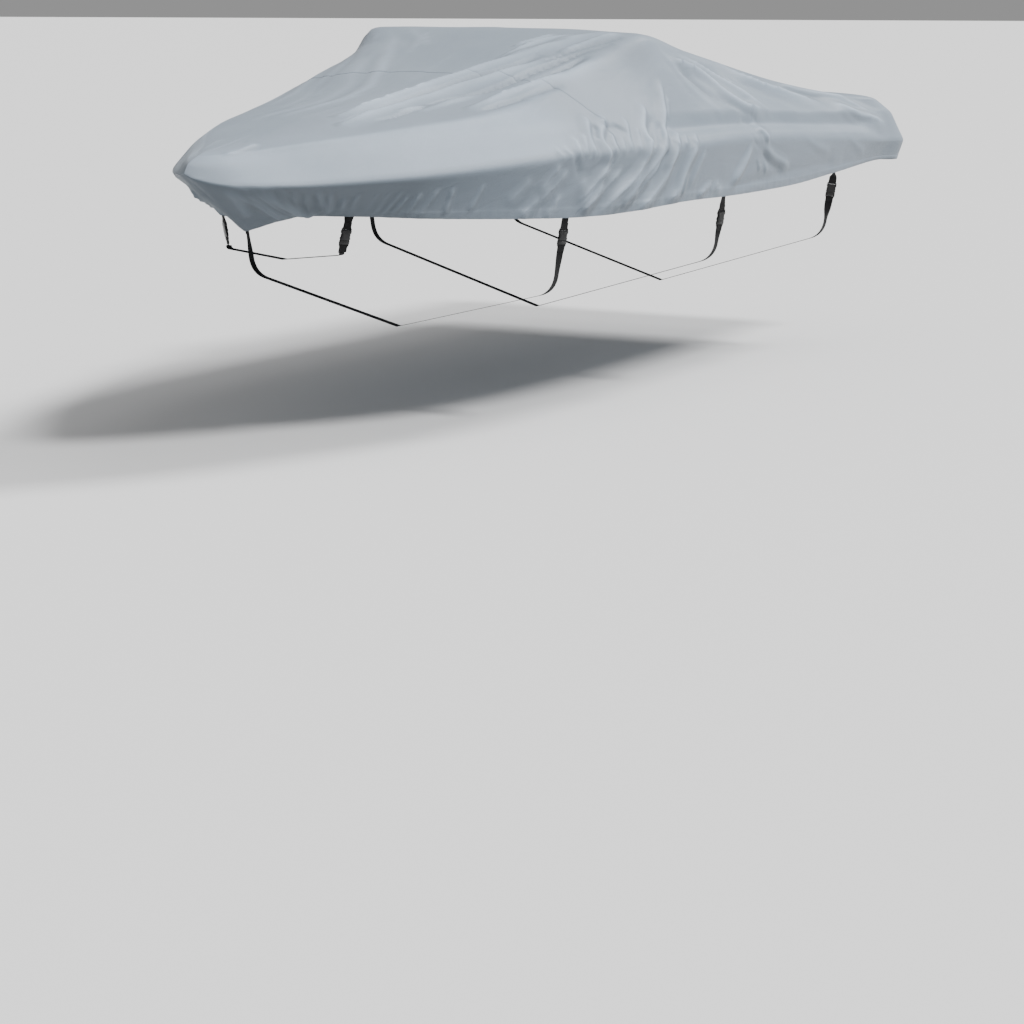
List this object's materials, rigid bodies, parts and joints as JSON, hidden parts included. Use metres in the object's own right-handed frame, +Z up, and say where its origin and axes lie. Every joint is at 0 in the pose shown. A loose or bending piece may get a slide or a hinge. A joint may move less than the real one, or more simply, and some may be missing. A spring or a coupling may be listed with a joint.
{
  "type": "boat cover",
  "caption": "Fitted cloth cover for a small open boat, drawn tight over a high peak amidships, with a deep skirt and webbing straps with side-release buckles that pass underneath.",
  "frame": {"origin": "on the centre plane, under the middle of the cover's length, at the height of the lowest strap's lowest point", "axes": "+Z up, -Y towards the bow, +X to port; the cover's length lies along Y"},
  "size_m": [1.932, 4.8353, 1.2677],
  "materials": {
    "cloth": "light blue-grey coated woven polyester, half matt, with soft folds",
    "webbing": "black woven webbing, matt",
    "buckle": "black moulded plastic, fine grain"
  },
  "bodies": {
    "root": {"rear_panel": "cloth", "front_panel": "cloth", "tab_port_1": "webbing", "socket_port_1": "buckle", "clip_port_1": "buckle", "tab_starboard_1": "webbing", "socket_starboard_1": "buckle", "clip_starboard_1": "buckle", "belly_strap_1": "webbing", "tab_port_2": "webbing", "socket_port_2": "buckle", "clip_port_2": "buckle", "tab_starboard_2": "webbing", "socket_starboard_2": "buckle", "clip_starboard_2": "buckle", "belly_strap_2": "webbing", "tab_port_3": "webbing", "socket_port_3": "buckle", "clip_port_3": "buckle", "tab_starboard_3": "webbing", "socket_starboard_3": "buckle", "clip_starboard_3": "buckle", "belly_strap_3": "webbing", "tab_port_4": "webbing", "socket_port_4": "buckle", "clip_port_4": "buckle", "tab_starboard_4": "webbing", "socket_starboard_4": "buckle", "clip_starboard_4": "buckle", "belly_strap_4": "webbing"}
  },
  "joints": []
}
